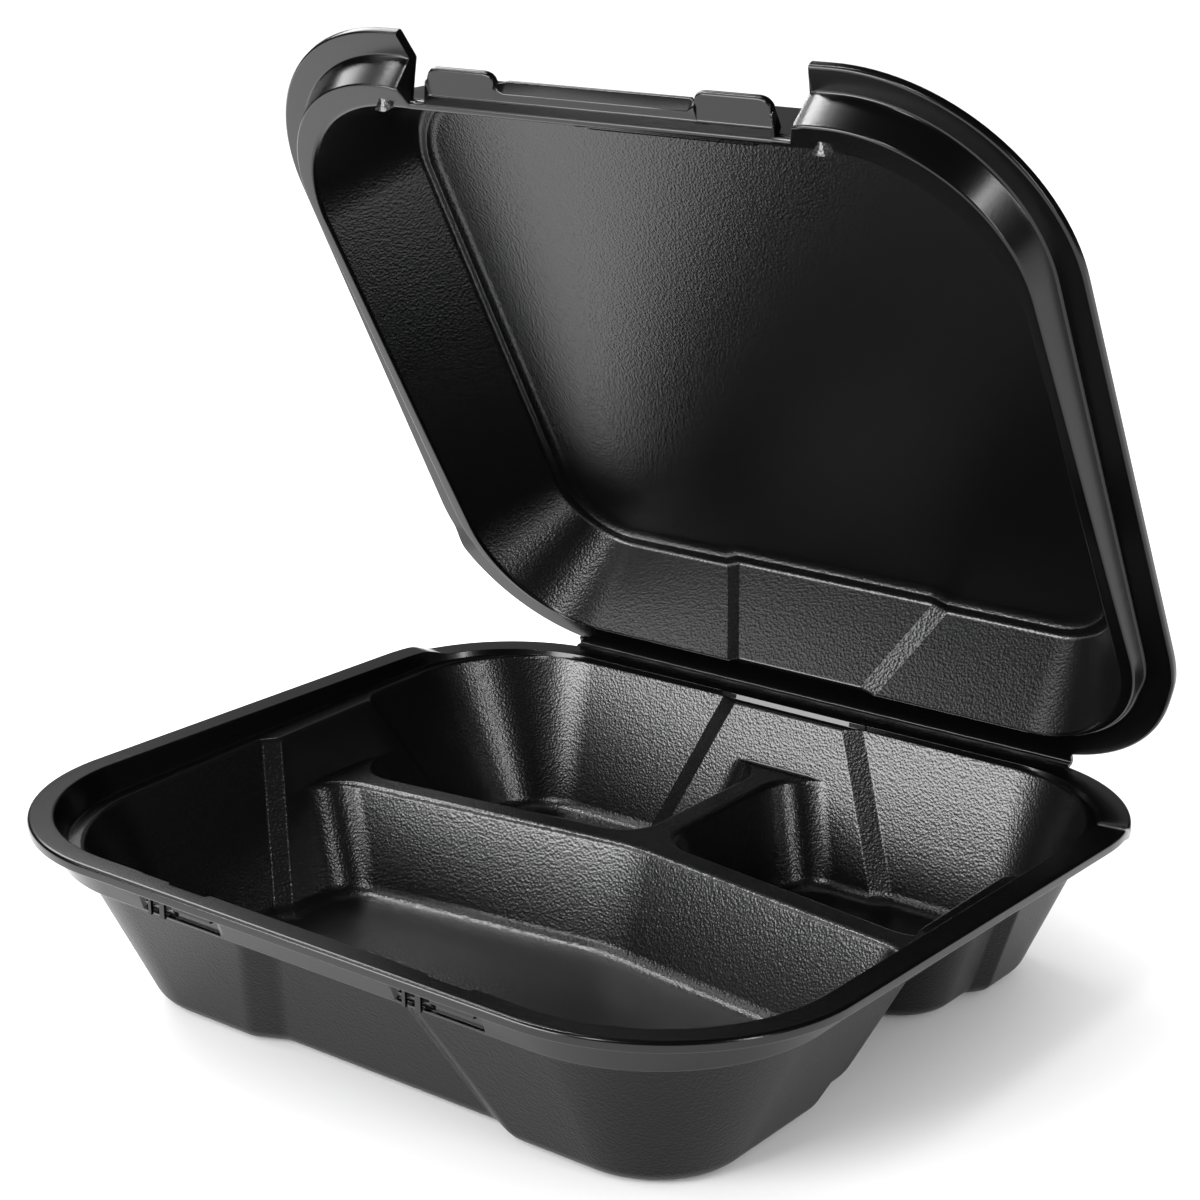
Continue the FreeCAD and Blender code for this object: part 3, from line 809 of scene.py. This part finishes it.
def lid_column(k, rim, reference, marks, walls):
    """Section of the lid at station k: plate, wall, rim and dome."""
    edge = rim(k, 0)
    flange, ledge = flange_z(edge.y) + GAP, ledge_z(edge.y) + GAP
    flange_in = flange_z(rim(k, FLANGE).y) + GAP
    ledge_in = ledge_z(walls.wall(k, CREASE - 3.5).y) + GAP
    x = reference[k].x
    front = marks[k][1] is None and edge.y < -DEPTH + 1
    cut = 0.0
    if front and abs(x) < FLANGE_END:
        cut = FLANGE_CUT / 2 if abs(x) > 58 else FLANGE_CUT

    def at(inset, z):
        p = rim(k, inset)
        away = cut * (1 - inset / 15) * (1 if p.x > 0 else -1)
        return Vector((p.x + away, p.y, z))

    if front and abs(x) < FRONT_OPEN:
        middle = lip_section(x)
    else:
        gap = GAP + (0.5 if cut else 0.0)
        foot, top = step_inset(ledge) + gap, step_inset(flange_in) + gap
        over = GAP + SHEET
        middle = [at(foot, ledge), at(top, flange_in), at(0, flange), at(0, flange + SHEET),
                  at(step_inset(flange_in + SHEET) + over, flange_in + SHEET),
                  at(step_inset(ledge + SHEET) + over, ledge + SHEET)]
        if cut == FLANGE_CUT:
            middle[2:4] = [at(top - 0.15, flange_in + 0.1), at(top - 0.15, flange_in + SHEET - 0.1)]
        room = (walls.wall(k, ledge_in + SHEET, True) - at(0, ledge_in + SHEET)).length - 0.3
        for i in (4, 5):
            if (middle[i] - at(0, middle[i].z)).length > room:
                middle[i] = at(room, middle[i].z)
    inner = [walls.shelf(k, SHELF + 2.0, 4.0), walls.shelf(k, SHELF, 2.5), walls.shelf(k, SHELF),
             walls.wall(k, ledge_in)]
    dome = [walls.wall(k, ledge_in + SHEET, True), walls.shelf(k, SHELF + SHEET, 0.0, LID_SKIN),
            walls.shelf(k, SHELF + SHEET, 2.5, LID_SKIN),
            walls.shelf(k, SHELF + SHEET + 2.0, 4.0, LID_SKIN)]
    return rounded(inner + middle + dome, LID_ROUNDING)


def flange_wedges(b):
    """Wedges on the ledge beside the ends of the corner flanges."""
    x_place, z = 64.5, ledge_z(-(DEPTH - 13)) + GAP
    low_corners = ((-2.8, 13.0, -0.6), (2.8, 13.0, -0.6), (2.8, 16.2, -0.6), (-2.8, 16.2, -0.6))
    high_corners = ((-0.6, 13.6, 0.1), (0.6, 13.6, 0.1), (1.8, 15.9, 2.0), (-1.8, 15.9, 2.0))
    for hand in (-1, 1):
        loops = [b.add([Vector((hand * x_place + across, -(DEPTH - inset), z - down))
                        for across, inset, down in corners]) for corners in (low_corners, high_corners)]
        b.strip(loops[0], loops[1], GRAIN)
        b.cap(loops[1], GRAIN)


def front_strips(b):
    """Low strip on the lid's front wall, beside the middle, and a small mark at its end."""
    for first, last, raised in ((-1.5, 46.0, 0.7), (-5.6, -2.2, 0.25)):
        loops = []
        for x in (first, first + 0.4, last - 0.4, last):
            out = raised if first < x < last else 0.0
            section = ((-3.2, 0.0), (-3.0, out), (0.6, out), (0.9, 0.0))
            loops.append(b.add([Vector((x, lid_front(CREASE + up) + away + 0.05, CREASE + up))
                                for up, away in section]))
        for one, two in zip(loops, loops[1:]):
            for k in range(3):
                b.face((one[k], one[k + 1], two[k + 1], two[k]), RIM)


def build_lid():
    b = Builder()
    reference, marks = lid_ring(CREASE - 3.7)
    n = len(FRONT_X)
    rim = rim_points(reference, marks, {0: "fl", n + 1: "fr", n + 3: "br", n + 8: "bl"})
    walls = LidWalls()
    columns = [lid_column(k, rim, reference, marks, walls) for k in range(len(reference))]
    n_rows = len(columns[0])
    ids = [b.add([column[r] for column in columns]) for r in range(n_rows)]
    for r in range(n_rows - 1):
        mat = GRAIN if r < PLATE_ROWS else OUTSIDE if r > n_rows - DOME_ROWS else RIM
        b.strip(ids[r], ids[r + 1], mat)
    b.cap(ids[0][::-1], GRAIN)
    b.cap(ids[-1], OUTSIDE)
    flange_wedges(b)
    front_strips(b)
    return b


lid = build_lid().mesh("lid_shell", place_lid, FOAMS)


# Crease between tray and lid: a strip pressed thin

def build_crease():
    b = Builder()
    count, half, thin, edge = 61, 81.6, 1.2, -1.9
    rows = []
    for k in range(count):
        x = -half + 2 * half * k / (count - 1)
        wobble = 0.06 * sin(x * 1.9) + 0.05 * sin(x * 0.73 + 1.0)
        base_in = Vector((x, edge, CREASE))
        base_out = Vector((x, edge, CREASE - thin))
        lid_in = opened(Vector((x, edge, CREASE + GAP)))
        lid_out = opened(Vector((x, edge, CREASE + GAP + thin)))
        heart = Vector((x, -0.25 + wobble, CREASE + GAP / 2 + 0.1))
        inside = [base_in, Vector((x, -0.7, CREASE + 0.02)), heart,
                  lid_in.lerp(PIVOT + Vector((x, 0, 0)), 0.5), lid_in]
        outside_line = [lid_out, Vector((x, 1.0, CREASE - 0.2)), base_out]
        rows.append(rounded(inside, [(0.5, 2), (0.35, 4), (0.5, 2)]) + rounded(outside_line, [(1.2, 5)]))
    ids = b.loft(rows, RIM)
    b.cap(ids[0][::-1], RIM)
    b.cap(ids[-1], RIM)
    return b


crease = build_crease().mesh("crease_strip", place_base, [grained, rim_foam])

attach(tray, "base")
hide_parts("base_tray")
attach(lid, "lid")
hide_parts("lid")
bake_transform(crease)


# Floor

bpy.ops.mesh.primitive_plane_add(size=6.0, location=(0, 0, 0))
floor = bpy.context.object
floor.name = "floor"
paint = bpy.data.materials.new("floor_white")
paint.use_nodes = True
paint.node_tree.nodes["Principled BSDF"].inputs["Base Color"].default_value = (0.9, 0.9, 0.9, 1)
paint.node_tree.nodes["Principled BSDF"].inputs["Roughness"].default_value = 0.7
floor.data.materials.append(paint)


# World: white to the camera, soft light for diffuse surfaces, nearly dark in reflections

world = bpy.data.worlds.new("studio")
bpy.context.scene.world = world
world.use_nodes = True
nodes, links = world.node_tree.nodes, world.node_tree.links


def background(node, strength):
    node.inputs["Color"].default_value = (1, 1, 1, 1)
    node.inputs["Strength"].default_value = strength
    return node.outputs["Background"]


soft = background(nodes["Background"], 1.25)
dark = background(nodes.new("ShaderNodeBackground"), 0.02)
white = background(nodes.new("ShaderNodeBackground"), 1.0)
path = nodes.new("ShaderNodeLightPath")
mirrored = nodes.new("ShaderNodeMixShader")
links.new(path.outputs["Is Glossy Ray"], mirrored.inputs["Fac"])
links.new(soft, mirrored.inputs[1])
links.new(dark, mirrored.inputs[2])
seen = nodes.new("ShaderNodeMixShader")
links.new(path.outputs["Is Camera Ray"], seen.inputs["Fac"])
links.new(mirrored.outputs["Shader"], seen.inputs[1])
links.new(white, seen.inputs[2])
links.new(seen.outputs["Shader"], nodes["World Output"].inputs["Surface"])


# Lights, in metres and watts, all aimed at the tray's middle

MIDDLE = Vector((0, 0.03, 0.04))


def area(name, place, width, height, power):
    data = bpy.data.lights.new(name, "AREA")
    data.shape = "RECTANGLE"
    data.size, data.size_y = width, height
    data.energy = power
    light = bpy.data.objects.new(name, data)
    bpy.context.scene.collection.objects.link(light)
    light.location = place
    light.rotation_euler = (MIDDLE - Vector(place)).to_track_quat("-Z", "Y").to_euler()


area("key", (-0.56, -1.28, 0.40), 0.9, 0.5, 23)
area("front", (0.15, -1.2, 1.0), 0.16, 0.5, 6)
area("lid_light", (-0.85, -0.7, 0.9), 0.5, 0.4, 2.2)
area("spark", (-0.6, -0.15, 1.25), 0.08, 0.5, 7)
area("right", (1.35, -0.2, 0.48), 0.10, 0.7, 6)
area("backdrop", (-1.3, 1.5, 0.8), 2.0, 1.2, 1.5)
area("high_left", (-0.95, 0.35, 0.9), 0.8, 0.6, 11)


# Camera at the photograph's angle

camera_data = bpy.data.cameras.new("camera")
camera = bpy.data.objects.new("camera", camera_data)
bpy.context.scene.collection.objects.link(camera)
place = Vector((0.39452, -0.46958, 0.30648))
azimuth, elevation, roll = radians(39.47), radians(18.67), radians(-0.65)
forward = Vector((-sin(azimuth) * cos(elevation), cos(azimuth) * cos(elevation), -sin(elevation)))
across = Vector((cos(azimuth), sin(azimuth), 0))
upward = across.cross(forward)
side = across * cos(roll) + upward * sin(roll)
rise = -across * sin(roll) + upward * cos(roll)
turn = Matrix((side, rise, -forward)).transposed()
camera.matrix_world = Matrix.Translation(place) @ turn.to_4x4()
camera_data.sensor_width = 36.0
camera_data.lens = 82.0
camera_data.shift_x = 0.0714
camera_data.shift_y = 0.0409
camera_data.clip_start = 0.05
bpy.context.scene.camera = camera
bpy.context.scene.view_settings.view_transform = "Standard"
